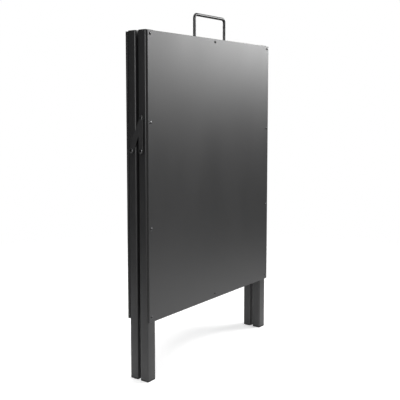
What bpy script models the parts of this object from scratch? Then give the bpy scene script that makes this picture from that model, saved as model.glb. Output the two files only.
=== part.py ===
"""Folding table carried flat: two framed leaves hinged along the top, spread by side stays.

Metres, +Z up. The front of the folded table faces -Y, +X is to its right. The origin is on
the floor, under the middle of the folded stack. Both leaves are built in the same local
frame, whose origin is on the hinge axis and whose +Y points outwards from the gap.
"""
from math import atan2, cos, pi, radians, sin

import bmesh
import bpy
from mathutils import Matrix, Vector

# ---- driving dimensions -----------------------------------------------------------------
HEIGHT = 0.850            # floor to the top edge of the panels
WIDTH = 0.540             # over the legs, and of the panels
PANEL_HEIGHT = 0.700
PANEL_THICK = 0.006
PANEL_ARRIS = 0.0010      # rounding of the panels' edges
TUBE_WIDTH = 0.030        # tube of the legs across the table, and of the rails upwards
TUBE_DEPTH = 0.025        # the same tube from the gap to the panel
WALL = 0.0015
TUBE_RADIUS = 0.0040      # outer corner radius of the tube
LEAF_GAP = 0.0076         # between the tubes of the two folded leaves
TOUCH = 0.0003            # gap left between pieces that touch
SLACK = 0.0003            # radial gap round screws and rivets
CUT = 0.001               # how far a cutter runs past what it cuts
RAIL_LIFT = 0.0005        # the bottom rail's underside above the panel's

CAP_THICK = 0.002         # flange of the top plugs, which stand above the panels
FOOT_THICK = 0.004        # flange of the foot plugs
CAP_INSERT = 0.005
FOOT_INSERT = 0.016
PLUG_WALL = 0.0015
PLUG_CHAMFER = 0.0008

HINGE_Z = 0.843           # height of the hinge axis
HINGE_X = 0.170           # middle of each hinge from the table's middle
HINGE_LENGTH = 0.050
HINGE_PLATE = 0.0015
KNUCKLE_RADIUS = 0.0035
KNUCKLE_TURN = 295        # degrees that a knuckle is rolled through
KNUCKLE_ROOT = 0.0062     # how far a knuckle's own strip reaches below the axis, into its plate
HINGE_DROP = 0.018        # how far the plates reach below the axis
KNUCKLE_SPLIT = 0.015     # length of each outer knuckle
HINGE_PIN_RADIUS = 0.0018
HINGE_PIN_HEAD = 0.0030   # radius
HINGE_PIN_REACH = 0.0010  # how far each head stands past the knuckles

SCREW_SIDE = 0.009        # panel screws from the panel's sides
SCREW_TOP = 0.008         # and from its top edge
SCREW_BOTTOM = 0.012      # and from its bottom edge
LOWER_SCREW_Z = 0.379     # the two screws between the corners of each side
UPPER_SCREW_Z = {-1: 0.608, 1: 0.634}    # set by hand, so not level: by the sign of x in a leaf
SCREW_SHANK = 0.0018      # radius
SCREW_HEAD = 0.0038
SCREW_HEAD_HEIGHT = 0.0016
SCREW_TIP = 0.003         # how far a screw reaches into the tube

HANDLE_SPAN = 0.133       # between the middles of the two uprights
HANDLE_RISE = 0.059       # top edge of the panel to the middle of the grip
HANDLE_ROD = 0.0040       # radius
HANDLE_BEND = 0.009
COLLAR_THICK = 0.0015
COLLAR_RADIUS = 0.0065
BOLT_SHANK = 0.0020
BOLT_GRIP = 0.010         # depth of the hole in each upright
BOLT_REACH = 0.009        # of the bolt in it
BOLT_HEAD = 0.0037        # radius
BOLT_HEAD_HEIGHT = 0.0025
BOLT_CHAMFER = 0.0011

STAY_PIVOT_Z = 0.566      # both stay pivots on the legs
KNEE_RISE = 0.078         # folded knee above the pivots
KNEE_FORWARD = 0.001      # and in front of the front pivot
BAR_WIDTH = 0.014
BAR_THICK = 0.002
BAR_OFFSET = {"rear": 0.0012, "front": 0.0037}   # leg's side to the inner face of each bar
PIVOT_SHANK = 0.0025
PIVOT_HEAD = 0.0050
PIVOT_HEAD_HEIGHT = 0.0018
SHOULDER_RADIUS = 0.0046
TAIL_RADIUS = 0.0036      # of a pivot rivet, inside the leg
TAIL_HEIGHT = 0.0025
TAIL_CROWN = 0.0006       # the rise of the tail's cone
KNEE_TAIL_RADIUS = 0.0042
KNEE_TAIL_HEIGHT = 0.0006

ROUND_STEPS = 16          # sides of rivets, and of the holes round them
SMALL_STEPS = 12          # sides of screws, bolts, pins and the handle's rod
CORNER_STEPS = 3          # per quarter circle of a tube's corner
BEND_STEPS = 5            # per bend of the handle
END_STEPS = 8             # per round end of a stay bar

# ---- derived places ---------------------------------------------------------------------
TUBE_IN = LEAF_GAP / 2                    # inner face of a leaf's tubes, from the mid plane
TUBE_MID = TUBE_IN + TUBE_DEPTH / 2
TUBE_OUT = TUBE_IN + TUBE_DEPTH
PANEL_IN = TUBE_OUT + TOUCH
PANEL_OUT = PANEL_IN + PANEL_THICK
LEG_X = (WIDTH - TUBE_WIDTH) / 2
RAIL_LENGTH = WIDTH - 2 * TUBE_WIDTH - 2 * TOUCH
LEG_TOP = HEIGHT - TOUCH
LEG_BOTTOM = FOOT_THICK + TOUCH
PANEL_BOTTOM = HEIGHT - PANEL_HEIGHT
TOP_RAIL_Z = LEG_TOP - TUBE_WIDTH / 2
BOTTOM_RAIL_Z = PANEL_BOTTOM + RAIL_LIFT + TUBE_WIDTH / 2
HANDLE_BOTTOM = LEG_TOP + TOUCH

AXIS_X = Matrix.Rotation(pi / 2, 4, "Y")      # turns a piece made along Z to lie along +X
AXIS_Y = Matrix.Rotation(-pi / 2, 4, "X")     # and along +Y
FLIP = Matrix.Rotation(pi, 4, "X")


# ---- small tools ------------------------------------------------------------------------
def clear_scene():
    for obj in list(bpy.data.objects):
        bpy.data.objects.remove(obj, do_unlink=True)


def material(name, color, roughness, metallic=0.0):
    mat = bpy.data.materials.new(name)
    mat.use_nodes = True
    shader = mat.node_tree.nodes["Principled BSDF"]
    shader.inputs["Base Color"].default_value = (*color, 1.0)
    shader.inputs["Roughness"].default_value = roughness
    shader.inputs["Metallic"].default_value = metallic
    mat.diffuse_color = (*color, 1.0)
    return mat


def place(name, bm, mat, matrix, parent):
    """Make a named object from a bmesh, shaded smooth with sharp edges, under its parent."""
    bmesh.ops.remove_doubles(bm, verts=bm.verts, dist=1e-7)
    bmesh.ops.recalc_face_normals(bm, faces=bm.faces)
    mesh = bpy.data.meshes.new(name)
    bm.to_mesh(mesh)
    bm.free()
    mesh.shade_smooth()
    mesh.set_sharp_from_angle(angle=radians(35))
    obj = bpy.data.objects.new(name, mesh)
    bpy.context.collection.objects.link(obj)
    if mat:
        mesh.materials.append(mat)
    obj.parent = parent
    obj.matrix_basis = matrix
    return obj


def empty(name, location, turn=0.0):
    obj = bpy.data.objects.new(name, None)
    obj.location = location
    obj.rotation_euler = (0.0, 0.0, turn)
    bpy.context.collection.objects.link(obj)
    return obj


def bridge(bm, loops):
    """Join each loop of vertices to the next with a band of faces."""
    for first, second in zip(loops, loops[1:]):
        count = len(first)
        for i in range(count):
            j = (i + 1) % count
            bm.faces.new((first[i], first[j], second[j], second[i]))


def tube_outline(inset, radius):
    """Points round the tube's section with round corners, anticlockwise, inset from its outside."""
    across = TUBE_WIDTH / 2 - inset - radius
    deep = TUBE_DEPTH / 2 - inset - radius
    points = []
    for quarter, (x, y) in enumerate(((across, deep), (-across, deep), (-across, -deep), (across, -deep))):
        for step in range(CORNER_STEPS + 1):
            angle = pi / 2 * (quarter + step / CORNER_STEPS)
            points.append((x + radius * cos(angle), y + radius * sin(angle)))
    return points


def prism(points, low, high):
    """Closed prism of an outline, along Z."""
    bm = bmesh.new()
    face = bm.faces.new([bm.verts.new((x, y, low)) for x, y in points])
    raised = bmesh.ops.extrude_face_region(bm, geom=[face])["geom"]
    lifted = [v for v in raised if isinstance(v, bmesh.types.BMVert)]
    bmesh.ops.translate(bm, verts=lifted, vec=(0, 0, high - low))
    return bm


def box(low, high):
    bm = bmesh.new()
    size = Vector(high) - Vector(low)
    middle = (Vector(high) + Vector(low)) / 2
    bmesh.ops.create_cube(bm, size=1.0, matrix=Matrix.Translation(middle) @ Matrix.Diagonal((*size, 1)))
    return bm


def hollow_tube(length):
    """Rectangular tube with round corners, open at both ends, centred and along Z."""
    bm = bmesh.new()
    loops = []
    for inset in (0.0, WALL):
        outline = tube_outline(inset, TUBE_RADIUS - inset)
        for z in (-length / 2, length / 2):
            loops.append([bm.verts.new((x, y, z)) for x, y in outline])
    outer_low, outer_high, inner_low, inner_high = loops
    bridge(bm, (outer_low, outer_high, inner_high, inner_low, outer_low))
    return bm


def turned(profile, steps=ROUND_STEPS):
    """Closed solid turned about Z from (radius, height) points; it starts and ends at radius 0."""
    bm = bmesh.new()
    verts = [bm.verts.new((r, 0, z)) for r, z in profile]
    edges = [bm.edges.new(pair) for pair in zip(verts, verts[1:])]
    bmesh.ops.spin(bm, geom=verts + edges, cent=(0, 0, 0), axis=(0, 0, 1), dvec=(0, 0, 0),
                   angle=2 * pi, steps=steps, use_merge=True)
    bmesh.ops.remove_doubles(bm, verts=bm.verts, dist=1e-7)
    return bm


def dome(radius, height, base, steps=3):
    """Profile points of a low dome, from its rim up to the axis."""
    return [(radius * cos(pi / 2 * i / steps), base + height * sin(pi / 2 * i / steps))
            for i in range(steps)] + [(0.0, base + height)]


def rod_cutter(name, radius, spans, turn, parent):
    """Hidden cutter of round rods, each given by its start point and its length."""
    bm = bmesh.new()
    for start, length in spans:
        shift = Matrix.Translation(Vector(start)) @ turn @ Matrix.Translation((0, 0, length / 2))
        bmesh.ops.create_cone(bm, cap_ends=True, segments=ROUND_STEPS, radius1=radius,
                              radius2=radius, depth=length, matrix=shift)
    obj = place(name, bm, None, Matrix.Identity(4), parent)
    obj.hide_render = True
    obj.display_type = "WIRE"
    return obj


def boolean(obj, tool, operation="DIFFERENCE"):
    mod = obj.modifiers.new(operation.lower(), "BOOLEAN")
    mod.operation = operation
    mod.solver = "EXACT"
    mod.object = tool


def bevel(obj, width, segments=1):
    mod = obj.modifiers.new("bevel", "BEVEL")
    mod.width = width
    mod.segments = segments
    mod.limit_method = "ANGLE"
    mod.angle_limit = radians(40)


# ---- pieces of a leaf -------------------------------------------------------------------
def local(x, y, z):
    """A place in a leaf's frame, from its height above the floor."""
    return Matrix.Translation((x, y, z - HINGE_Z))


def plug(flange_thick, insert_length):
    """Plastic tube plug, flange up: a chamfered flange over the tube's end and a hollow insert."""
    fit = WALL + TOUCH
    fit_radius = TUBE_RADIUS - fit
    bore = fit + PLUG_WALL
    sections = ((PLUG_CHAMFER, TUBE_RADIUS - PLUG_CHAMFER, flange_thick),
                (0.0, TUBE_RADIUS, flange_thick - PLUG_CHAMFER),
                (0.0, TUBE_RADIUS, 0.0),
                (fit, fit_radius, 0.0),
                (fit, fit_radius, -insert_length),
                (bore, fit_radius, -insert_length),
                (bore, fit_radius, 0.0))
    bm = bmesh.new()
    loops = [[bm.verts.new((x, y, z)) for x, y in tube_outline(inset, radius)]
             for inset, radius, z in sections]
    bridge(bm, loops)
    bm.faces.new(loops[0])
    bm.faces.new(reversed(loops[-1]))
    return bm


def screw_places():
    """Panel screws: the corners, the middle of the top and bottom, and two more on each side."""
    x = WIDTH / 2 - SCREW_SIDE
    low = PANEL_BOTTOM + SCREW_BOTTOM
    high = HEIGHT - SCREW_TOP
    sides = [(sign * x, z) for sign in (-1, 1)
             for z in (low, LOWER_SCREW_Z, UPPER_SCREW_Z[sign], high)]
    return sides + [(0.0, low), (0.0, high)]


def panel_screw():
    """Domed screw along Z, its shank long enough for the panel and the tube's wall."""
    reach = PANEL_THICK + WALL + SCREW_TIP
    return turned([(0.0, -reach), (SCREW_SHANK, -reach), (SCREW_SHANK, TOUCH),
                   *dome(SCREW_HEAD, SCREW_HEAD_HEIGHT, TOUCH)], SMALL_STEPS)


def hinge_profile():
    """Rolled knuckle and the strip below it, as (outward, up) points from the hinge axis."""
    inner = KNUCKLE_RADIUS - HINGE_PLATE
    angles = [radians(KNUCKLE_TURN) * i / SMALL_STEPS for i in range(SMALL_STEPS + 1)]
    outside = [(KNUCKLE_RADIUS * cos(a), KNUCKLE_RADIUS * sin(a)) for a in angles]
    inside = [(inner * cos(a), inner * sin(a)) for a in reversed(angles)]
    # the roll starts where the strip meets it, at angle 0, and goes over the top
    return [(KNUCKLE_RADIUS, -KNUCKLE_ROOT), *outside, *inside, (inner, -KNUCKLE_ROOT)]


def hinge_plate(knuckles):
    """Hinge leaf against a rail: a strip and its rolled knuckles over the given X spans."""
    inner = KNUCKLE_RADIUS - HINGE_PLATE
    half = HINGE_LENGTH / 2
    strip = box((-half, inner, -HINGE_DROP), (half, KNUCKLE_RADIUS, -KNUCKLE_RADIUS - TOUCH))
    rolls = []
    for start, end in knuckles:
        roll = prism(hinge_profile(), start, end)
        roll.transform(Matrix(((0, 0, 1, 0), (1, 0, 0, 0), (0, 1, 0, 0), (0, 0, 0, 1))))
        rolls.append(roll)
    return strip, rolls


def handle_rod():
    """U-shaped round rod, feet down, swept along its centre line."""
    half = HANDLE_SPAN / 2
    top = HEIGHT + HANDLE_RISE
    collar_top = HANDLE_BOTTOM + COLLAR_THICK
    feet = [(HANDLE_BOTTOM, COLLAR_RADIUS), (collar_top, COLLAR_RADIUS), (collar_top, HANDLE_ROD)]
    centre = [(Vector((-half, 0, z)), radius) for z, radius in feet]
    for side in (-1, 1):
        middle = Vector((side * (half - HANDLE_BEND), 0, top - HANDLE_BEND))
        for step in range(BEND_STEPS + 1):
            angle = pi / 2 * step / BEND_STEPS
            if side > 0:
                angle = pi / 2 - angle
            bend = Vector((side * cos(angle), 0, sin(angle)))
            centre.append((middle + HANDLE_BEND * bend, HANDLE_ROD, bend))
    centre += [(Vector((half, 0, z)), radius) for z, radius in reversed(feet)]
    bm = bmesh.new()
    loops = []
    across = Vector((0, 1, 0))
    for point, radius, *bend in centre:
        side = bend[0] if bend else Vector((-1 if point.x < 0 else 1, 0, 0))
        loops.append([bm.verts.new(point + radius * (cos(a) * across + sin(a) * side))
                      for a in (2 * pi * k / SMALL_STEPS for k in range(SMALL_STEPS))])
    bridge(bm, loops)
    bm.faces.new(loops[0])
    bm.faces.new(reversed(loops[-1]))
    return bm


# ---- assembly ---------------------------------------------------------------------------
def build_leaf(leaf, frame, flip, mats):
    """One leaf: two legs, two rails, plugs, panel, screws. flip is -1 where +X is world left."""
    steel = mats["steel"]
    screw_spans = [((x, TUBE_OUT - WALL - CUT, z - HINGE_Z), WALL + PANEL_THICK + TOUCH + 2 * CUT)
                   for x, z in screw_places()]
    screw_tool = rod_cutter(leaf + "_screw_cutter", SCREW_SHANK + SLACK, screw_spans, AXIS_Y, frame)
    pivot_spans = [((start, TUBE_MID, STAY_PIVOT_Z - HINGE_Z), WALL + 2 * CUT)
                   for start in (-WIDTH / 2 - CUT, WIDTH / 2 - WALL - CUT)]
    pivot_tool = rod_cutter(leaf + "_pivot_cutter", PIVOT_SHANK + SLACK, pivot_spans, AXIS_X, frame)

    for word, world in (("left", -1), ("right", 1)):
        x = flip * world * LEG_X
        leg = place(f"{leaf}_{word}_leg", hollow_tube(LEG_TOP - LEG_BOTTOM), steel,
                    local(x, TUBE_MID, (LEG_TOP + LEG_BOTTOM) / 2), frame)
        boolean(leg, screw_tool)
        boolean(leg, pivot_tool)
        place(f"{leaf}_{word}_top_cap", plug(CAP_THICK, CAP_INSERT), mats["plastic"],
              local(x, TUBE_MID, LEG_TOP + TOUCH), frame)
        place(f"{leaf}_{word}_foot", plug(FOOT_THICK, FOOT_INSERT), mats["rubber"],
              local(x, TUBE_MID, LEG_BOTTOM - TOUCH) @ FLIP, frame)

    top_rail = place(leaf + "_top_rail", hollow_tube(RAIL_LENGTH), steel,
                     local(0, TUBE_MID, TOP_RAIL_Z) @ AXIS_X, frame)
    bottom_rail = place(leaf + "_bottom_rail", hollow_tube(RAIL_LENGTH), steel,
                        local(0, TUBE_MID, BOTTOM_RAIL_Z) @ AXIS_X, frame)
    boolean(top_rail, screw_tool)
    boolean(bottom_rail, screw_tool)

    panel = place(leaf + "_panel",
                  box((-WIDTH / 2, PANEL_IN, PANEL_BOTTOM - HINGE_Z),
                      (WIDTH / 2, PANEL_OUT, HEIGHT - HINGE_Z)),
                  mats["panel"], Matrix.Identity(4), frame)
    bevel(panel, PANEL_ARRIS, 3)
    boolean(panel, screw_tool)
    for number, (x, z) in enumerate(screw_places(), 1):
        place(f"{leaf}_panel_screw_{number:02d}", panel_screw(), mats["screw"],
              local(x, PANEL_OUT, z) @ AXIS_Y, frame)
    return top_rail


def build_hinges(front_frame, rear_frame, mats):
    """Two butt hinges in the gap between the top rails, with their pins."""
    half = HINGE_LENGTH / 2
    inner = half - KNUCKLE_SPLIT
    knuckles = {"front": ((-half, -inner - TOUCH), (inner + TOUCH, half)), "rear": ((-inner, inner),)}
    frames = {"front": front_frame, "rear": rear_frame}
    for word, world in (("left", -1), ("right", 1)):
        for leaf, flip in (("front", -1), ("rear", 1)):
            x = flip * world * HINGE_X
            strip, rolls = hinge_plate(knuckles[leaf])
            plate = place(f"{word}_hinge_{leaf}_plate", strip, mats["zinc"],
                          Matrix.Translation((x, 0, 0)), frames[leaf])
            for number, roll in enumerate(rolls):
                tool = place(f"{word}_{leaf}_knuckle_{number}", roll, None,
                             Matrix.Translation((x, 0, 0)), frames[leaf])
                tool.hide_render = True
                tool.display_type = "WIRE"
                boolean(plate, tool, "UNION")
        over = half + HINGE_PIN_REACH
        profile = [(0.0, -over), (HINGE_PIN_HEAD, -over), (HINGE_PIN_HEAD, -half - TOUCH),
                   (HINGE_PIN_RADIUS, -half - TOUCH), (HINGE_PIN_RADIUS, half + TOUCH),
                   (HINGE_PIN_HEAD, half + TOUCH), (HINGE_PIN_HEAD, over), (0.0, over)]
        place(f"{word}_hinge_pin", turned(profile, SMALL_STEPS), mats["zinc"],
              Matrix.Translation((-world * HINGE_X, 0, 0)) @ AXIS_X, front_frame)


def build_handle(frame, top_rail, mats):
    """Bow handle on the front leaf's top rail, held from below by two bolts through the rail."""
    feet = [(side * HANDLE_SPAN / 2, TUBE_MID) for side in (-1, 1)]
    rail_bottom = TOP_RAIL_Z - TUBE_WIDTH / 2
    spans = [((x, y, rail_bottom - CUT - HINGE_Z), HANDLE_BOTTOM + BOLT_GRIP + CUT - rail_bottom)
             for x, y in feet]
    tool = rod_cutter("handle_bolt_cutter", BOLT_SHANK + SLACK, spans, Matrix.Identity(4), frame)
    boolean(top_rail, tool)
    rod = place("handle", handle_rod(), mats["handle"], local(0, TUBE_MID, 0), frame)
    boolean(rod, tool)
    head = rail_bottom - TOUCH
    base = head - BOLT_HEAD_HEIGHT
    tip = HANDLE_BOTTOM + BOLT_REACH
    profile = [(0.0, base), (BOLT_HEAD - BOLT_CHAMFER, base), (BOLT_HEAD, base + BOLT_CHAMFER),
               (BOLT_HEAD, head), (BOLT_SHANK, head), (BOLT_SHANK, tip), (0.0, tip)]
    for word, (x, y) in zip(("right", "left"), feet):
        place(f"handle_{word}_bolt", turned(profile, SMALL_STEPS), mats["screw"], local(x, y, 0), frame)


def bar_blank(length):
    """Flat bar with round ends and a hole at each pivot, along +Y from its own pivot, at x >= 0."""
    radius = BAR_WIDTH / 2
    points = [(radius * cos(a), -radius * sin(a)) for a in (pi * i / END_STEPS for i in range(END_STEPS + 1))]
    points += [(-x, length - y) for x, y in points]
    blank = prism([(y, x) for x, y in points], 0.0, BAR_THICK)
    blank.transform(Matrix(((0, 0, 1, 0), (1, 0, 0, 0), (0, 1, 0, 0), (0, 0, 0, 1))))
    return blank


def stay_pivot_profile(offset):
    """Shouldered rivet: tail inside the leg, shoulder under the bar, domed head outside it."""
    bar_top = offset + BAR_THICK
    tail = -WALL - TOUCH - TAIL_HEIGHT
    return [(0.0, tail), (TAIL_RADIUS, tail + TAIL_CROWN), (TAIL_RADIUS, -WALL - TOUCH),
            (PIVOT_SHANK, -WALL - TOUCH), (PIVOT_SHANK, TOUCH), (SHOULDER_RADIUS, TOUCH),
            (SHOULDER_RADIUS, offset - TOUCH), (PIVOT_SHANK, offset - TOUCH),
            (PIVOT_SHANK, bar_top + TOUCH), *dome(PIVOT_HEAD, PIVOT_HEAD_HEIGHT, bar_top + TOUCH)]


def knee_profile(leaf):
    """Half of the knee rivet: the rear bar carries its inner head, the front bar its outer one."""
    offset = BAR_OFFSET[leaf]
    if leaf == "rear":
        tail = offset - TOUCH - KNEE_TAIL_HEIGHT
        return [(0.0, tail), (KNEE_TAIL_RADIUS, tail), (KNEE_TAIL_RADIUS, offset - TOUCH),
                (PIVOT_SHANK, offset - TOUCH), (PIVOT_SHANK, offset + BAR_THICK),
                (0.0, offset + BAR_THICK)]
    bar_top = offset + BAR_THICK
    return [(0.0, offset), (PIVOT_SHANK, offset), (PIVOT_SHANK, bar_top + TOUCH),
            *dome(PIVOT_HEAD, PIVOT_HEAD_HEIGHT, bar_top + TOUCH)]


def build_stays(mats):
    """A folding stay on each side: a front and a rear bar, pivoted on the legs, meeting at a knee."""
    pivots = {"front": Vector((-TUBE_MID, STAY_PIVOT_Z)), "rear": Vector((TUBE_MID, STAY_PIVOT_Z))}
    knee = pivots["front"] + Vector((-KNEE_FORWARD, KNEE_RISE))
    for word, world in (("left", -1), ("right", 1)):
        outward = Matrix.Identity(4) if world > 0 else Matrix.Scale(-1, 4, (1, 0, 0))
        for leaf in ("front", "rear"):
            offset = BAR_OFFSET[leaf]
            reach = knee - pivots[leaf]
            pivot = empty(f"{word}_{leaf}_bar_pivot", (world * WIDTH / 2, *pivots[leaf]))
            lean = Matrix.Rotation(atan2(reach.y, reach.x), 4, "X")
            blank = bar_blank(reach.length)
            blank.transform(outward @ lean @ Matrix.Translation((offset, 0, 0)))
            bar = place(f"{word}_stay_{leaf}_bar", blank, mats["stay"], Matrix.Identity(4), pivot)
            holes = [((offset - CUT, 0, 0), BAR_THICK + 2 * CUT),
                     ((offset - CUT, reach.x, reach.y), BAR_THICK + 2 * CUT)]
            if world < 0:
                holes = [((-x - length, y, z), length) for (x, y, z), length in holes]
            tool = rod_cutter(f"{word}_{leaf}_bar_cutter", PIVOT_SHANK + SLACK, holes, AXIS_X, pivot)
            boolean(bar, tool)
            rivet = turned(stay_pivot_profile(offset))
            rivet.transform(outward @ AXIS_X)
            place(f"{word}_stay_{leaf}_rivet", rivet, mats["zinc"],
                  Matrix.Translation(pivot.location), None)
            half = turned(knee_profile(leaf))
            half.transform(outward @ AXIS_X)
            place(f"{word}_stay_knee_{'outer' if leaf == 'front' else 'inner'}_rivet", half,
                  mats["zinc"], Matrix.Translation((0, reach.x, reach.y)), pivot)


def main():
    clear_scene()
    mats = {
        "steel": material("black_powder_coat", (0.030, 0.030, 0.031), 0.42, 0.1),
        "panel": material("graphite_panel", (0.060, 0.060, 0.061), 0.38),
        "plastic": material("black_plastic", (0.012, 0.012, 0.012), 0.5),
        "rubber": material("black_rubber", (0.015, 0.015, 0.015), 0.8),
        "screw": material("blackened_screw", (0.03, 0.03, 0.03), 0.3, 0.9),
        "zinc": material("zinc_plate", (0.35, 0.35, 0.35), 0.3, 1.0),
        "stay": material("black_stay", (0.035, 0.035, 0.036), 0.4, 0.3),
        "handle": material("black_handle", (0.02, 0.02, 0.02), 0.35, 0.2),
    }
    front = empty("front_leaf_frame", (0, 0, HINGE_Z), pi)
    rear = empty("rear_leaf_hinge", (0, 0, HINGE_Z))
    front_rail = build_leaf("front", front, -1, mats)
    build_leaf("rear", rear, 1, mats)
    build_hinges(front, rear, mats)
    build_handle(front, front_rail, mats)
    build_stays(mats)


main()
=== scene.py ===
"""Folding table, looks: materials, small hardware, plugs, handle, weld beads, light and camera.

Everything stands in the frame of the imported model: metres, +Z up, front towards -Y.
"""

import random
from math import cos, pi, radians, sin, sqrt

import bmesh
import bpy
from mathutils import Matrix, Vector


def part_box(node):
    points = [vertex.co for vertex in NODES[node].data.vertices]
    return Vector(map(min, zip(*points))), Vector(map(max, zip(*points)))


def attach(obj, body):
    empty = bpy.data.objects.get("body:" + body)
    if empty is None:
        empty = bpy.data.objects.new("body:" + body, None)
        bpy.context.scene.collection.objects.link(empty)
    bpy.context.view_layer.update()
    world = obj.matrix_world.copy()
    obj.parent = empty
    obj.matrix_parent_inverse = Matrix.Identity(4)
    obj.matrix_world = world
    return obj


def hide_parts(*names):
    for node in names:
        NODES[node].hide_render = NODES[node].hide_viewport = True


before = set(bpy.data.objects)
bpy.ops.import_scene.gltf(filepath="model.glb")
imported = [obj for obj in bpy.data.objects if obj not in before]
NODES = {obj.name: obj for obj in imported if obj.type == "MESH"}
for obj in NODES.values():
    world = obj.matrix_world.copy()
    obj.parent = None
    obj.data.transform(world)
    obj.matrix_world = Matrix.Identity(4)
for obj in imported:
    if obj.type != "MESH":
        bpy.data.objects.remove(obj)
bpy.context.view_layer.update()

# ---- sizes of the tubes, and sizes that the frame doesn't hold --------------------------
LEG_LOW, LEG_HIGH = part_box("front_left_leg")
TUBE_WIDTH = LEG_HIGH.x - LEG_LOW.x
TUBE_DEPTH = LEG_HIGH.y - LEG_LOW.y
TUBE_RADIUS = 0.0040      # outer corner radius
WALL = 0.0015
PLUG_FIT = 0.0003         # play between a plug and the bore, and over a bolt's head
PLATE_FACE = 0.0020       # inner face of each hinge plate, from the mid plane
EMBED = 0.0003            # how far a weld bead or a rivet head sinks into what it holds
SMOOTH_ANGLE = radians(35)
ROUND_STEPS = 28          # sides of a turned piece

LEAVES = ("front", "rear")
SIDES = ("left", "right")
OUTWARD = {"front": -1, "rear": 1}      # sign of Y on a leaf's panel side
SIDEWARD = {"left": -1, "right": 1}     # sign of X


# ---- materials --------------------------------------------------------------------------
class Shader:
    """A Principled material and short calls that add nodes to it."""

    def __init__(self, name, roughness, metallic=0.0, **sockets):
        self.material = bpy.data.materials.new(name)
        self.material.use_nodes = True
        self.tree = self.material.node_tree
        self.surface = self.tree.nodes["Principled BSDF"]
        self.surface.inputs["Roughness"].default_value = roughness
        self.surface.inputs["Metallic"].default_value = metallic
        for socket, value in sockets.items():
            self.surface.inputs[socket.replace("_", " ")].default_value = value
        coordinates = self.tree.nodes.new("ShaderNodeTexCoord")
        self.place = coordinates.outputs["Object"]
        self.normal = coordinates.outputs["Normal"]

    def add(self, kind, **settings):
        node = self.tree.nodes.new("ShaderNode" + kind)
        for setting, value in settings.items():
            setattr(node, setting, value)
        return node

    def plug(self, node, **inputs):
        """Set or link a node's inputs; a name's underscore stands for a space."""
        for name, value in inputs.items():
            socket = node.inputs[name.replace("_", " ")]
            if isinstance(value, bpy.types.NodeSocket):
                self.tree.links.new(value, socket)
            else:
                socket.default_value = value
        return node

    def stretched(self, x, y, z):
        mapping = self.plug(self.add("Mapping"), Vector=self.place, Scale=(x, y, z))
        return mapping.outputs["Vector"]

    def noise(self, scale, detail=2.0, place=None):
        """Noise from 0 to 1, whose grains are about 1 / scale metres wide."""
        node = self.plug(self.add("TexNoise"), Vector=place or self.place, Scale=scale, Detail=detail)
        return node.outputs["Fac"]

    def span(self, value, low, high, to_low, to_high):
        """The value's range low to high, mapped to another range and held at its ends."""
        node = self.add("MapRange")
        for index, number in enumerate((low, high, to_low, to_high), 1):
            node.inputs[index].default_value = number
        self.tree.links.new(value, node.inputs["Value"])
        return node.outputs["Result"]

    def math(self, operation, first, second):
        node = self.add("Math", operation=operation)
        for socket, value in zip(node.inputs, (first, second)):
            if isinstance(value, bpy.types.NodeSocket):
                self.tree.links.new(value, socket)
            else:
                socket.default_value = value
        return node.outputs[0]

    def blend(self, amount, first, second):
        """A colour between two, each an RGB triple or a socket."""
        node = self.add("Mix", data_type="RGBA")
        self.tree.links.new(amount, node.inputs["Factor"])
        for name, colour in (("A", first), ("B", second)):
            socket = [s for s in node.inputs if s.name == name and s.type == "RGBA"][0]
            if isinstance(colour, bpy.types.NodeSocket):
                self.tree.links.new(colour, socket)
            else:
                socket.default_value = (*colour, 1.0)
        return [s for s in node.outputs if s.type == "RGBA"][0]

    def edges(self, radius, low=0.02, high=0.25):
        """1 on sharp outer edges, 0 on flats, from how a rounded normal leans away."""
        rounded = self.plug(self.add("Bevel", samples=4), Radius=radius)
        flat = self.add("NewGeometry")
        lean = self.add("VectorMath", operation="DOT_PRODUCT")
        self.tree.links.new(rounded.outputs["Normal"], lean.inputs[0])
        self.tree.links.new(flat.outputs["Normal"], lean.inputs[1])
        return self.span(lean.outputs["Value"], 1.0 - low, 1.0 - high, 0.0, 1.0)

    def worn(self, radius, patch_scale, amount):
        """Edge mask broken up into patches."""
        patches = self.span(self.noise(patch_scale, 4.0), 0.45, 0.62, 0.0, amount)
        return self.math("MULTIPLY", self.edges(radius), patches)

    def bumps(self, *layers):
        """Layers of (height socket, depth in metres), each on top of the one before."""
        normal = None
        for height, depth in layers:
            node = self.plug(self.add("Bump"), Height=height, Distance=depth, Strength=1.0)
            if normal:
                self.tree.links.new(normal, node.inputs["Normal"])
            normal = node.outputs["Normal"]
        self.plug(self.surface, Normal=normal)


def grey(level):
    return (level, level, level)


def shaded(colour, factor):
    return [channel * factor for channel in colour]


def powder_coat(name, colour, roughness, worn_colour):
    """Fine-textured black coat: orange peel, a sandy grain, soft mottling, and rubbed edges."""
    shader = Shader(name, roughness, IOR=1.5)
    mottle = shader.noise(14.0, 4.0)
    shade = shader.blend(shader.span(mottle, 0.3, 0.7, 0.0, 1.0),
                         shaded(colour, 0.90), shaded(colour, 1.12))
    wear = shader.worn(0.0012, 60.0, 0.55)
    shader.plug(shader.surface, Base_Color=shader.blend(wear, shade, worn_colour))
    cloudy = shader.span(shader.noise(35.0, 3.0), 0.3, 0.7, roughness - 0.04, roughness + 0.05)
    shader.plug(shader.surface, Roughness=shader.math("SUBTRACT", cloudy,
                                                      shader.math("MULTIPLY", wear, 0.12)))
    shader.bumps((shader.noise(520.0, 2.0), 0.00003), (shader.noise(2200.0, 1.0), 0.000012))
    return shader.material


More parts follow.
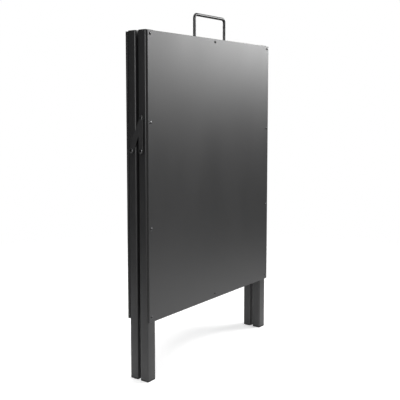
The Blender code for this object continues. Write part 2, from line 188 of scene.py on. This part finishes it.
def panel_board():
    """Graphite laminate: fine upright grain, faint wipe marks, and a blacker core at the edges."""
    colour = (0.0215, 0.0215, 0.0220)
    core = (0.004, 0.004, 0.004)
    roughness = 0.375
    shader = Shader("panel_laminate", roughness, IOR=1.5)
    parts = shader.plug(shader.add("SeparateXYZ"), Vector=shader.normal)
    facing = shader.math("ABSOLUTE", parts.outputs["Y"], 0.0)
    grain = shader.noise(1.0, 3.0, shader.stretched(900.0, 900.0, 14.0))
    cloud = shader.noise(5.0, 3.0)
    shade = shader.blend(shader.span(cloud, 0.3, 0.7, 0.0, 1.0),
                         shaded(colour, 0.94), shaded(colour, 1.06))
    lined = shader.blend(shader.span(grain, 0.35, 0.65, 0.0, 0.22), shade, shaded(colour, 1.35))
    faced = shader.blend(shader.span(facing, 0.35, 0.75, 0.0, 1.0), core, lined)
    shader.plug(shader.surface, Base_Color=faced)
    wipes = shader.noise(1.0, 4.0, shader.stretched(9.0, 9.0, 2.6))
    gloss = shader.span(wipes, 0.3, 0.7, roughness - 0.02, roughness + 0.02)
    edge = shader.span(facing, 0.35, 0.75, 0.25, 0.0)
    shader.plug(shader.surface, Roughness=shader.math("ADD", gloss, edge))
    shader.bumps((shader.noise(1500.0, 2.0), 0.000006), (grain, 0.000004))
    return shader.material


def moulded(name, level, roughness, depth):
    """Black plastic or rubber with a spark-eroded mould texture and scuffed edges."""
    shader = Shader(name, roughness, IOR=1.47)
    wear = shader.worn(0.0008, 250.0, 0.5)
    mottle = shader.span(shader.noise(60.0, 3.0), 0.3, 0.7, 0.0, 1.0)
    shade = shader.blend(mottle, grey(level * 0.85), grey(level * 1.2))
    shader.plug(shader.surface, Base_Color=shader.blend(wear, shade, grey(level * 3.0)))
    shader.plug(shader.surface, Roughness=shader.span(shader.noise(180.0, 2.0), 0.3, 0.7,
                                                      roughness - 0.06, roughness + 0.06))
    shader.bumps((shader.noise(1700.0, 3.0), depth))
    return shader.material


def plated(name, colour, roughness, worn_colour, patch_scale):
    """Metal with a thin finish: cloudy tone, fine drag lines, brighter rubbed edges."""
    shader = Shader(name, roughness, 1.0)
    cloud = shader.span(shader.noise(patch_scale, 4.0), 0.35, 0.65, 0.0, 1.0)
    shade = shader.blend(cloud, shaded(colour, 0.8), shaded(colour, 1.15))
    wear = shader.worn(0.0006, 400.0, 0.8)
    shader.plug(shader.surface, Base_Color=shader.blend(wear, shade, worn_colour))
    lines = shader.noise(1.0, 2.0, shader.stretched(300.0, 4000.0, 4000.0))
    shader.plug(shader.surface, Roughness=shader.span(lines, 0.3, 0.7, roughness - 0.07,
                                                      roughness + 0.08))
    shader.bumps((lines, 0.000006), (shader.noise(900.0, 2.0), 0.00001))
    return shader.material


def make_materials():
    """A material for each of the record's slots."""
    return {
        "frame_tube": powder_coat("frame_powder_coat", colour=(0.0145, 0.0145, 0.0150),
                                  roughness=0.39, worn_colour=grey(0.11)),
        "panel": panel_board(),
        "cap": moulded("cap_plastic", level=0.012, roughness=0.46, depth=0.00002),
        "foot": moulded("foot_rubber", level=0.015, roughness=0.68, depth=0.00003),
        "screw": plated("blackened_screw", colour=(0.085, 0.085, 0.087), roughness=0.27,
                        worn_colour=(0.33, 0.33, 0.34), patch_scale=800.0),
        "hinge": plated("zinc_plate", colour=(0.20, 0.20, 0.205), roughness=0.42,
                        worn_colour=(0.34, 0.34, 0.345), patch_scale=260.0),
        "stay": powder_coat("stay_coat", colour=(0.019, 0.019, 0.0195), roughness=0.40,
                            worn_colour=grey(0.20)),
        "handle": powder_coat("handle_coat", colour=(0.008, 0.008, 0.0085), roughness=0.30,
                              worn_colour=grey(0.08)),
    }


# ---- mesh tools -------------------------------------------------------------------------
def loft(rings):
    """Closed skin through rings of points, with a flat face at each end."""
    bm = bmesh.new()
    loops = [[bm.verts.new(point) for point in ring] for ring in rings]
    for first, second in zip(loops, loops[1:]):
        for i, vert in enumerate(first):
            j = (i + 1) % len(first)
            bm.faces.new((vert, first[j], second[j], second[i]))
    bm.faces.new(reversed(loops[0]))
    bm.faces.new(loops[-1])
    bmesh.ops.recalc_face_normals(bm, faces=bm.faces)
    return bm


def circle(radius, height, count=ROUND_STEPS):
    return [Vector((radius * cos(2 * pi * i / count), radius * sin(2 * pi * i / count), height))
            for i in range(count)]


def turned(profile, count=ROUND_STEPS):
    """Solid turned about Z from (radius, height) points."""
    return loft([circle(radius, height, count) for radius, height in profile])


def rounded_ring(width, depth, radius, height, steps=6):
    """Ring of points round a rectangle with round corners."""
    ring = []
    across, deep = width / 2 - radius, depth / 2 - radius
    corners = ((across, deep), (-across, deep), (-across, -deep), (across, -deep))
    for quarter, (x, y) in enumerate(corners):
        for step in range(steps + 1):
            angle = pi / 2 * (quarter + step / steps)
            ring.append(Vector((x + radius * cos(angle), y + radius * sin(angle), height)))
    return ring


def tube_ring(inset, height):
    """Ring that follows the tube's outline at an inset from its outside."""
    radius = max(TUBE_RADIUS - inset, 0.0005)
    return rounded_ring(TUBE_WIDTH - 2 * inset, TUBE_DEPTH - 2 * inset, radius, height)


def round_mark(radius, height):
    """Circle with as many points as a tube ring."""
    return rounded_ring(2 * radius, 2 * radius, radius, height)


def dome_rings(radius, height, base, steps=5, tip=0.12):
    """(radius, height) points of a low dome, from its rim to a small flat tip."""
    last = pi / 2 - tip
    return [(radius * cos(last * i / steps), base + height * sin(last * i / steps) / sin(last))
            for i in range(steps + 1)]


def finish_shading(obj):
    """Flats shade flat and rounds shade round."""
    mod = obj.modifiers.new("even_shading", "WEIGHTED_NORMAL")
    mod.keep_sharp = True


def join(parts):
    """One bmesh that holds the separate solids of several."""
    whole = bmesh.new()
    for part in parts:
        mesh = bpy.data.meshes.new("part")
        part.to_mesh(mesh)
        part.free()
        whole.from_mesh(mesh)
        bpy.data.meshes.remove(mesh)
    return whole


def mesh_from(name, bm):
    """The bmesh as a mesh, smooth except at sharp edges."""
    mesh = bpy.data.meshes.new(name)
    bm.to_mesh(mesh)
    bm.free()
    mesh.shade_smooth()
    mesh.set_sharp_from_angle(angle=SMOOTH_ANGLE)
    return mesh


def piece(name, mesh, slot, body, matrix=None, replaces=()):
    """Put a mesh in the scene with its material slot, on its body, in place of CAD nodes."""
    if isinstance(mesh, bmesh.types.BMesh):
        mesh = mesh_from(name, mesh)
    if not mesh.materials:
        mesh.materials.append(MATERIALS[slot])
    obj = bpy.data.objects.new(name, mesh)
    bpy.context.scene.collection.objects.link(obj)
    obj.matrix_world = matrix or Matrix.Identity(4)
    finish_shading(obj)
    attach(obj, body)
    if replaces:
        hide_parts(*replaces)


def facing(place, direction, spin=0.0):
    """A matrix that stands a piece made along +Z at a place, pointing in a direction."""
    turn = Vector(direction).to_track_quat("Z", "Y").to_matrix().to_4x4()
    return Matrix.Translation(place) @ turn @ Matrix.Rotation(spin, 4, "Z")


def middle(node):
    low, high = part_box(node)
    return (low + high) / 2


# ---- CAD nodes that stay ----------------------------------------------------------------
WELD_DISTANCE = 0.00001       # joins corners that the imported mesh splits
EASE_WIDTH = 0.00035          # rounding of the sheet metal's edges
EASE_ANGLE = radians(50)


def smoothing_nodes():
    """Geometry nodes that join a CAD mesh's split corners and smooth it up to a sharp angle."""
    group = bpy.data.node_groups.new("join_and_smooth", "GeometryNodeTree")
    for direction in ("INPUT", "OUTPUT"):
        group.interface.new_socket("Geometry", in_out=direction, socket_type="NodeSocketGeometry")
    kinds = ("GroupInput", "RemoveAttribute", "MergeByDistance", "SetShadeSmooth", "SetShadeSmooth",
             "GroupOutput")
    chain = []
    for kind in kinds:
        prefix = "Node" if kind.startswith("Group") else "GeometryNode"
        chain.append(group.nodes.new(prefix + kind))
    _, forget, merge, faces, edges, _ = chain
    forget.inputs["Name"].default_value = "custom_normal"
    merge.inputs["Distance"].default_value = WELD_DISTANCE
    faces.domain = "FACE"
    edges.domain = "EDGE"
    edges.inputs["Shade Smooth"].default_value = False
    angle = group.nodes.new("GeometryNodeInputMeshEdgeAngle")
    sharp = group.nodes.new("FunctionNodeCompare")
    sharp.operation = "GREATER_THAN"
    sharp.inputs["B"].default_value = SMOOTH_ANGLE
    group.links.new(angle.outputs["Unsigned Angle"], sharp.inputs["A"])
    group.links.new(sharp.outputs["Result"], edges.inputs["Selection"])
    for first, second in zip(chain, chain[1:]):
        group.links.new(first.outputs[0], second.inputs[0])
    return group


def dress_cad_nodes():
    """Materials on every CAD node, by its slot, smooth shading, and eased edges on the small parts."""
    group = smoothing_nodes()
    for name, obj in NODES.items():
        slot = obj.data.materials[0].name.split(".")[0]
        obj.data.materials[0] = MATERIALS[slot]
        join_up = obj.modifiers.new("join_and_smooth", "NODES")
        join_up.node_group = group
        if slot in ("hinge", "stay"):
            ease = obj.modifiers.new("eased_edges", "BEVEL")
            ease.width = EASE_WIDTH
            ease.segments = 2
            ease.limit_method = "ANGLE"
            ease.angle_limit = EASE_ANGLE
            again = obj.modifiers.new("smooth_again", "NODES")
            again.node_group = group
        finish_shading(obj)


# ---- screws and rivets ------------------------------------------------------------------
SCREW_HEAD = 0.0038
SCREW_HEIGHT = 0.0016
SCREW_SHANK = 0.0017
CROSS_ARM = 0.0021
CROSS_HALF_WIDTH = 0.00048
CROSS_DEPTH = 0.0011
THREAD_PITCH = 0.0011
THREAD_DEPTH = 0.0003
POINT_LENGTH = 0.0014


def cross_radius(angle, share=1.0, width_share=1.0):
    """Distance from a cross-shaped recess's middle to its outline."""
    from_arm = abs((angle + pi / 4) % (pi / 2) - pi / 4)
    side = CROSS_HALF_WIDTH * width_share / max(sin(from_arm), 1e-6)
    return min(CROSS_ARM * share / cos(from_arm), side)


def recess_angles():
    """Directions that hit the corners of the cross and fill the gaps between them."""
    tip = CROSS_HALF_WIDTH / CROSS_ARM
    quarter = (0.0, tip, 0.30, 0.52, pi / 4, 1.05, 1.27, pi / 2 - tip)
    return [q * pi / 2 + a for q in range(4) for a in quarter]


def threaded(reach):
    """(radius, height) points of a pointed shank with thread ridges, from its tip up to the head."""
    root = SCREW_SHANK - THREAD_DEPTH
    plain_from = -0.0012
    height = -reach + POINT_LENGTH
    points = [(0.0003, -reach), (root, height)]
    while height + THREAD_PITCH < plain_from:
        points += [(SCREW_SHANK, height + THREAD_PITCH * 0.35),
                   (SCREW_SHANK, height + THREAD_PITCH * 0.5),
                   (root, height + THREAD_PITCH * 0.85), (root, height + THREAD_PITCH)]
        height += THREAD_PITCH
    return points + [(SCREW_SHANK, plain_from / 2), (SCREW_SHANK, 0.0)]


def screw_mesh(reach):
    """Domed screw with a cross recess, head up along Z, its seat at height 0."""
    angles = recess_angles()

    def ring(radius_at, height_at):
        return [Vector((radius_at(a) * cos(a), radius_at(a) * sin(a), height_at(radius_at(a))))
                for a in angles]

    def dome(radius):
        return SCREW_HEIGHT * sqrt(max(1.0 - (radius / SCREW_HEAD) ** 2, 0.0))

    rings = [ring(lambda a, r=r: r, lambda _, z=z: z) for r, z in threaded(reach)]
    rings.append(ring(lambda a: SCREW_HEAD * 0.97, lambda _: 0.0))
    rings.append(ring(lambda a: SCREW_HEAD, lambda _: 0.00018))
    for share in (0.97, 0.90, 0.79, 0.66):
        rings.append(ring(lambda a, r=SCREW_HEAD * share: r, lambda r: max(dome(r), 0.0003)))
    rings.append(ring(cross_radius, dome))
    floor = SCREW_HEIGHT - CROSS_DEPTH
    rings.append(ring(lambda a: cross_radius(a, 0.62, 0.75), lambda _: floor))
    rings.append(ring(lambda a: 0.00015, lambda _: floor - 0.0003))
    return mesh_from("panel_screw", loft(rings))


def make_screws():
    """Every panel screw, seated on its panel, each turned its own way."""
    turns = random.Random(11)
    low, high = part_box("front_panel_screw_01")
    reach = high.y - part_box("front_panel")[0].y
    mesh = screw_mesh(reach)
    for leaf in LEAVES:
        panel_low, panel_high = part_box(leaf + "_panel")
        seat = panel_low.y if leaf == "front" else panel_high.y
        for node in sorted(n for n in NODES if n.startswith(leaf + "_panel_screw")):
            at = middle(node)
            matrix = facing((at.x, seat, at.z), (0, OUTWARD[leaf], 0), turns.uniform(0, pi / 2))
            piece("detailed_" + node, mesh, "screw", leaf + "_leaf", matrix, [node])


def hexagon(radius, height, count=24):
    """Ring of points on a hexagon, for a socket."""
    ring = []
    for i in range(count):
        angle = 2 * pi * i / count
        across = radius * cos(pi / 6) / cos((angle + pi / 6) % (pi / 3) - pi / 6)
        ring.append(Vector((across * cos(angle), across * sin(angle), height)))
    return ring


BOLT_SHANK = 0.0019       # radius, as the five below
BOLT_NECK = 0.0024
BOLT_HEAD = 0.0036
BOLT_SOCKET = 0.0017
WASHER_HOLE_EDGE = 0.0046
WASHER = 0.0048
WASHER_THICK = 0.0005
BOLT_STEPS = 24


def bolt_rings(tip, top):
    """Rings of a socket-head bolt, from its tip through the washer to the floor of its socket."""
    profile = [(0.0014, tip), (BOLT_SHANK, -0.0100), (BOLT_SHANK, 0.0), (BOLT_NECK, 0.0),
               (BOLT_NECK, WASHER_THICK), (BOLT_HEAD - 0.0003, WASHER_THICK),
               (BOLT_HEAD, WASHER_THICK + 0.0003), (BOLT_HEAD - 0.0001, top - 0.0006),
               (BOLT_HEAD - 0.0007, top - 0.0001), (BOLT_SOCKET + 0.0005, top)]
    rings = [circle(radius, height, BOLT_STEPS) for radius, height in profile]
    return rings + [hexagon(BOLT_SOCKET, top), hexagon(BOLT_SOCKET - 0.0001, top - 0.0012),
                    hexagon(0.0003, top - 0.0014)]


def make_handle_bolts():
    """Socket-head bolts that come up through the top rail into the handle, each on a washer."""
    rail_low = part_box("front_top_rail")[0].z
    washer = [(WASHER_HOLE_EDGE, 0.0), (WASHER, 0.00012), (WASHER, WASHER_THICK - 0.0001),
              (WASHER_HOLE_EDGE, WASHER_THICK)]
    for side, spin in (("left", 0.4), ("right", 1.1)):
        node = f"handle_{side}_bolt"
        low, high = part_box(node)
        at = middle(node)
        rings = bolt_rings(rail_low - high.z, rail_low - low.z - PLUG_FIT)
        matrix = facing((at.x, at.y, rail_low), (0, 0, -1), spin)
        piece("detailed_" + node, loft(rings), "screw", "front_leaf", matrix, [node])
        piece(f"handle_{side}_washer", turned(washer), "screw", "front_leaf", matrix)


LEG_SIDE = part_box("front_right_leg")[1].x      # outer side of the legs, from the mid plane
RIVET_SHANK = 0.0025      # radius, as the four below
RIVET_TAIL = 0.0036
RIVET_SHOULDER = 0.0046
RIVET_HEAD = 0.0050
KNEE_TAIL = 0.0042
HEAD_STEPS = 7


def reach_past_leg(node):
    """How far a node's inner and outer faces stand outside the legs."""
    return sorted(abs(corner.x) - LEG_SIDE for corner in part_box(node))


def rivet_head(outer, crown):
    """(radius, height) points of a domed head on a bar's outer face."""
    lip = 0.0002
    return [(RIVET_SHANK, outer), (RIVET_HEAD - lip, outer),
            *dome_rings(RIVET_HEAD, crown - lip, outer + lip, HEAD_STEPS)]


def pivot_rivet(tail, inner, outer, crown):
    """Profile from the clenched tail inside the leg, over the bar's shoulder, to the head."""
    return [(0.0012, tail), (RIVET_TAIL - 0.0005, tail + 0.0003), (RIVET_TAIL, tail + 0.0009),
            (RIVET_TAIL, -WALL - EMBED), (RIVET_SHANK, -WALL - EMBED), (RIVET_SHANK, EMBED),
            (RIVET_SHOULDER - 0.0002, EMBED), (RIVET_SHOULDER, EMBED + 0.0001),
            (RIVET_SHOULDER, inner - EMBED), (RIVET_SHANK, inner - EMBED),
            *rivet_head(outer, crown)]


def knee_tail(inner, outer):
    """Profile of the knee rivet's inner half, from its low tail to the bar's outer face."""
    return [(KNEE_TAIL - 0.0006, inner - 0.0009), (KNEE_TAIL, inner - 0.0006), (KNEE_TAIL, inner),
            (RIVET_SHANK, inner), (RIVET_SHANK, outer)]


def place_rivet(node, profile, side, body):
    at = middle(node)
    out = SIDEWARD[side]
    matrix = facing((out * LEG_SIDE, at.y, at.z), (out, 0, 0))
    piece("detailed_" + node, turned(profile), "screw", body, matrix, [node])


def make_stay_rivets():
    """Shouldered pivot rivets and the two halves of each knee rivet."""
    for side in SIDES:
        for leaf in LEAVES:
            inner, outer = reach_past_leg(f"{side}_stay_{leaf}_bar")
            node = f"{side}_stay_{leaf}_rivet"
            tail, top = reach_past_leg(node)
            crown = top - outer
            place_rivet(node, pivot_rivet(tail, inner, outer, crown), side, leaf + "_leaf")
            if leaf == "front":
                half = "outer"
                profile = [(RIVET_SHANK, inner), *rivet_head(outer, crown)]
            else:
                half = "inner"
                profile = knee_tail(inner, outer)
            place_rivet(f"{side}_stay_knee_{half}_rivet", profile, side, f"{side}_{leaf}_bar")


BLIND_HEAD = 0.0024       # radius of a blind rivet's head
BLIND_HEIGHT = 0.0009
BLIND_RISE = 0.0052       # above the hinge plate's lower edge
BLIND_SHARES = (0.16, 0.5, 0.84)      # along the plate


def make_hinge_rivets():
    """Three blind rivets in each hinge plate, their domed heads in the gap between the leaves."""
    profile = [(0.0021, -EMBED), *dome_rings(BLIND_HEAD, BLIND_HEIGHT, 0.0, 4, 0.45), (0.0007, 0.0005)]
    for side in SIDES:
        for leaf in LEAVES:
            low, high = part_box(f"{side}_hinge_{leaf}_plate")
            face_y = OUTWARD[leaf] * PLATE_FACE
            heads = []
            for share in BLIND_SHARES:
                head = turned(profile)
                x = low.x + share * (high.x - low.x)
                head.transform(facing((x, face_y, low.z + BLIND_RISE), (0, -OUTWARD[leaf], 0)))
                heads.append(head)
            piece(f"{side}_hinge_{leaf}_rivets", join(heads), "hinge", leaf + "_leaf")


# ---- plugs ------------------------------------------------------------------------------
# A flange's rings are given by their inset from the tube's outline and their share of its thickness.
GROOVE = 0.00035
CAP_RINGS = ((0.0, 0.0), (0.0, 0.45), (0.0002, 0.72), (0.0006, 0.88), (0.0015, 0.97), (0.0045, 1.0))
FOOT_RINGS = ((0.0, 0.0), (0.0, 0.18), (GROOVE, 0.22), (GROOVE, 0.32), (0.0, 0.36), (0.0, 0.46),
              (GROOVE, 0.50), (GROOVE, 0.60), (0.0, 0.64), (0.0, 0.78), (0.0002, 0.90),
              (0.0007, 0.98), (0.0011, 1.0))
SOLE_RINGS = ((0.0040, 1.0), (0.0045, 0.82), (0.0070, 0.82), (0.0075, 1.0), (0.0092, 1.0),
              (0.0096, 0.80))


def barbed_insert(depth, barbs):
    """Rings of a plug's insert, from its inner end up to the flange, with gripping ribs."""
    rib = 0.0010
    grip = WALL + PLUG_FIT
    neck = grip + rib
    rings = [tube_ring(neck + rib, -depth)]
    pitch = depth / barbs
    for barb in range(barbs):
        z = -depth + barb * pitch
        rings += [tube_ring(neck, z + pitch * 0.15), tube_ring(grip, z + pitch * 0.55),
                  tube_ring(grip, z + pitch * 0.70), tube_ring(neck, z + pitch * 0.78)]
    rings.append(tube_ring(neck, 0.0))
    return rings


def cap_mesh(thick, depth):
    """Top plug: ribbed insert, flange with a rounded rim, low crown and a sunk gate mark."""
    rings = barbed_insert(depth, 2)
    rings += [tube_ring(inset, share * thick) for inset, share in CAP_RINGS]
    rings += [round_mark(0.0018, thick), round_mark(0.0016, thick * 0.85)]
    return mesh_from("top_cap", loft(rings))


def foot_mesh(thick, depth):
    """Foot plug, sole up: ribbed insert, grooved flange, and a sole with a raised ring."""
    rings = barbed_insert(depth, 4)
    rings += [tube_ring(inset, share * thick) for inset, share in FOOT_RINGS + SOLE_RINGS]
    return mesh_from("foot", loft(rings))


def make_plugs():
    """Caps and feet in the ends of the four legs."""
    foot_low, foot_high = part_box("front_left_foot")
    cap_low, cap_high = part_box("front_left_top_cap")
    cap = cap_mesh(cap_high.z - LEG_HIGH.z, LEG_HIGH.z - cap_low.z)
    foot = foot_mesh(LEG_LOW.z - foot_low.z, foot_high.z - LEG_LOW.z)
    for leaf in LEAVES:
        for side in SIDES:
            at = middle(f"{leaf}_{side}_leg")
            top = f"{leaf}_{side}_top_cap"
            piece("detailed_" + top, cap, "cap", leaf + "_leaf",
                  Matrix.Translation((at.x, at.y, LEG_HIGH.z)), [top])
            sole = f"{leaf}_{side}_foot"
            piece("detailed_" + sole, foot, "foot", leaf + "_leaf",
                  facing((at.x, at.y, LEG_LOW.z), (0, 0, -1)), [sole])


# ---- handle -----------------------------------------------------------------------------
HANDLE_ROD = 0.0040       # radius
HANDLE_BEND = 0.009
BEND_STEPS = 10
ROD_STEPS = 24


def make_handle():
    """Bow handle: one bent rod whose feet swell into flanges through a small fillet."""
    low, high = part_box("handle")
    flange = (high.y - low.y) / 2
    half = (high.x - low.x) / 2 - flange
    y = (low.y + high.y) / 2
    top = high.z - HANDLE_ROD
    foot = [(0.0, flange - 0.0004), (0.0003, flange), (0.0011, flange), (0.0015, flange - 0.0004),
            (0.0016, HANDLE_ROD + 0.0014), (0.0020, HANDLE_ROD + 0.0006), (0.0030, HANDLE_ROD)]
    centre = [(Vector((-half, y, low.z + rise)), radius, Vector((-1, 0, 0))) for rise, radius in foot]
    for side in (-1, 1):
        hub = Vector((side * (half - HANDLE_BEND), y, top - HANDLE_BEND))
        turns = range(BEND_STEPS + 1) if side < 0 else range(BEND_STEPS, -1, -1)
        for step in turns:
            angle = pi / 2 * step / BEND_STEPS
            out = Vector((side * cos(angle), 0, sin(angle)))
            centre.append((hub + HANDLE_BEND * out, HANDLE_ROD, out))
    centre += [(Vector((half, y, low.z + rise)), radius, Vector((1, 0, 0)))
               for rise, radius in reversed(foot)]
    angles = [2 * pi * k / ROD_STEPS for k in range(ROD_STEPS)]
    rings = [[point + radius * (cos(angle) * Vector((0, 1, 0)) + sin(angle) * out) for angle in angles]
             for point, radius, out in centre]
    piece("bow_handle", loft(rings), "handle", "front_leaf", replaces=["handle"])


# ---- weld beads -------------------------------------------------------------------------
BEAD = 0.0034             # leg of the fillet
BEAD_STEPS = 30
ARC_STEPS = 6
RIPPLES = 9
FIRST_SEED = 4


def weld_bead(corner, along, reach_x, reach_z, seed):
    """Rippled fillet in the corner between a leg and a rail, from a corner point along Y."""
    ripple = random.Random(seed)
    rings = []
    for i in range(BEAD_STEPS + 1):
        share = i / BEAD_STEPS
        end_taper = min(1.0, sqrt(max(1.0 - abs(2 * share - 1) ** 6, 0.02)))
        wave = 1.0 + 0.09 * abs(sin(pi * share * RIPPLES)) + ripple.uniform(-0.015, 0.015)
        size = BEAD * end_taper * wave
        ring = [corner + Vector((-reach_x * EMBED, along * share, -reach_z * EMBED))]
        for step in range(ARC_STEPS + 1):
            angle = pi / 2 * step / ARC_STEPS
            bulge = size * (1.0 - 0.24 * sin(2 * angle))
            ring.append(corner + Vector((reach_x * (bulge * cos(angle) - EMBED * sin(angle)),
                                         along * share,
                                         reach_z * (bulge * sin(angle) - EMBED * cos(angle)))))
        rings.append(ring)
    return loft(rings)


def make_welds():
    """Beads where each rail meets the legs, on the sides that are left unground."""
    margin = TUBE_RADIUS * 0.8
    seed = FIRST_SEED
    for leaf in LEAVES:
        for side in SIDES:
            leg_low, leg_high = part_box(f"{leaf}_{side}_leg")
            inward = -SIDEWARD[side]
            inner_x = leg_high.x if inward > 0 else leg_low.x
            for rail in ("top", "bottom"):
                low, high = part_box(f"{leaf}_{rail}_rail")
                levels = [("under", low.z, -1)]
                if rail == "bottom":
                    levels.append(("over", high.z, 1))
                for word, z, up in levels:
                    start = Vector((inner_x, low.y + margin, z))
                    bead = weld_bead(start, high.y - low.y - 2 * margin, inward, up, seed)
                    piece(f"{leaf}_{side}_{rail}_weld_{word}", bead, "frame_tube", leaf + "_leaf")
                    seed += 1


# ---- floor, light, camera ---------------------------------------------------------------
FLOOR_RADIUS = 1.8
FLOOR_FADE = 0.4          # where the floor starts to fade into the background
FLOOR_CLEAR = 1.71        # where it has faded out
FLOOR_GLOW = 0.36         # light that the floor gives off, as a lit table does, so shadows stay soft
SURROUNDINGS = 0.06       # light that the white surroundings cast
TABLE_MIDDLE = (0.0, 0.0, 0.45)
SOFTBOXES = {             # place, aim, width, height, watts
    "panel_softbox": ((4.0, -2.2, 2.1), (0.0, 0.0, 0.9), 2.6, 1.9, 235.0),
    "overhead_softbox": ((-0.5, -0.3, 2.9), TABLE_MIDDLE, 2.4, 2.4, 50.0),
    "side_softbox": ((-3.1, -0.95, 1.15), TABLE_MIDDLE, 0.7, 1.3, 54.0),
    "rear_softbox": ((1.7, 3.0, 1.7), TABLE_MIDDLE, 1.8, 1.4, 50.0),
}


def make_floor():
    """Plain pale disc under the table that fades out towards its rim."""
    bm = bmesh.new()
    bmesh.ops.create_circle(bm, cap_ends=True, segments=96, radius=FLOOR_RADIUS)
    mesh = bpy.data.meshes.new("floor")
    bm.to_mesh(mesh)
    bm.free()
    floor = bpy.data.objects.new("floor", mesh)
    bpy.context.scene.collection.objects.link(floor)
    shader = Shader("pale_floor", 0.9, Base_Color=(0.9, 0.9, 0.9, 1.0), Specular_IOR_Level=0.1,
                    Emission_Color=(1.0, 1.0, 1.0, 1.0), Emission_Strength=FLOOR_GLOW)
    distance = shader.add("VectorMath", operation="LENGTH")
    shader.tree.links.new(shader.place, distance.inputs[0])
    fade = shader.span(distance.outputs["Value"], FLOOR_FADE, FLOOR_CLEAR, 1.0, 0.0)
    shader.plug(shader.surface, Alpha=fade)
    mesh.materials.append(shader.material)


def softbox(name, place, aim, width, height, power):
    light = bpy.data.lights.new(name, "AREA")
    light.shape = "RECTANGLE"
    light.size = width
    light.size_y = height
    light.energy = power
    obj = bpy.data.objects.new(name, light)
    bpy.context.scene.collection.objects.link(obj)
    place = Vector(place)
    obj.location = place
    obj.rotation_euler = (Vector(aim) - place).to_track_quat("-Z", "Y").to_euler()
    obj.visible_camera = False


def make_lights():
    """Surroundings that look white and cast little light, and the softboxes."""
    world = bpy.data.worlds.new("studio")
    bpy.context.scene.world = world
    world.use_nodes = True
    tree = world.node_tree
    shown = tree.nodes["Background"]
    shown.inputs["Color"].default_value = (1.0, 1.0, 1.0, 1.0)
    shown.inputs["Strength"].default_value = 1.0
    cast = tree.nodes.new("ShaderNodeBackground")
    cast.inputs["Color"].default_value = (1.0, 1.0, 1.0, 1.0)
    cast.inputs["Strength"].default_value = SURROUNDINGS
    path = tree.nodes.new("ShaderNodeLightPath")
    mix = tree.nodes.new("ShaderNodeMixShader")
    tree.links.new(path.outputs["Is Camera Ray"], mix.inputs["Fac"])
    tree.links.new(cast.outputs["Background"], mix.inputs[1])
    tree.links.new(shown.outputs["Background"], mix.inputs[2])
    tree.links.new(mix.outputs["Shader"], tree.nodes["World Output"].inputs["Surface"])

    for name, settings in SOFTBOXES.items():
        softbox(name, *settings)


CAMERA_PLACE = Vector((-1.440, -1.073, 0.669))
CAMERA_HEADING = radians(37.1)     # from +X towards +Y
CAMERA_DIP = radians(5.0)          # how far the camera looks down
CAMERA_LENS = 59.6
CAMERA_SHIFT = -0.086              # lowers the frame the rest of the way to the feet


def make_camera():
    """Camera that looks slightly down, with a small lens shift, so that uprights stay nearly upright."""
    data = bpy.data.cameras.new("camera")
    data.lens = CAMERA_LENS
    data.shift_y = CAMERA_SHIFT
    data.clip_end = 50.0
    camera = bpy.data.objects.new("camera", data)
    bpy.context.scene.collection.objects.link(camera)
    camera.location = CAMERA_PLACE
    camera.rotation_euler = (pi / 2 - CAMERA_DIP, 0.0, CAMERA_HEADING - pi / 2)
    bpy.context.scene.camera = camera
    bpy.context.scene.view_settings.view_transform = "Standard"


MATERIALS = make_materials()
dress_cad_nodes()
make_screws()
make_handle_bolts()
make_stay_rivets()
make_hinge_rivets()
make_plugs()
make_handle()
make_welds()
make_floor()
make_lights()
make_camera()

bpy.context.view_layer.update()
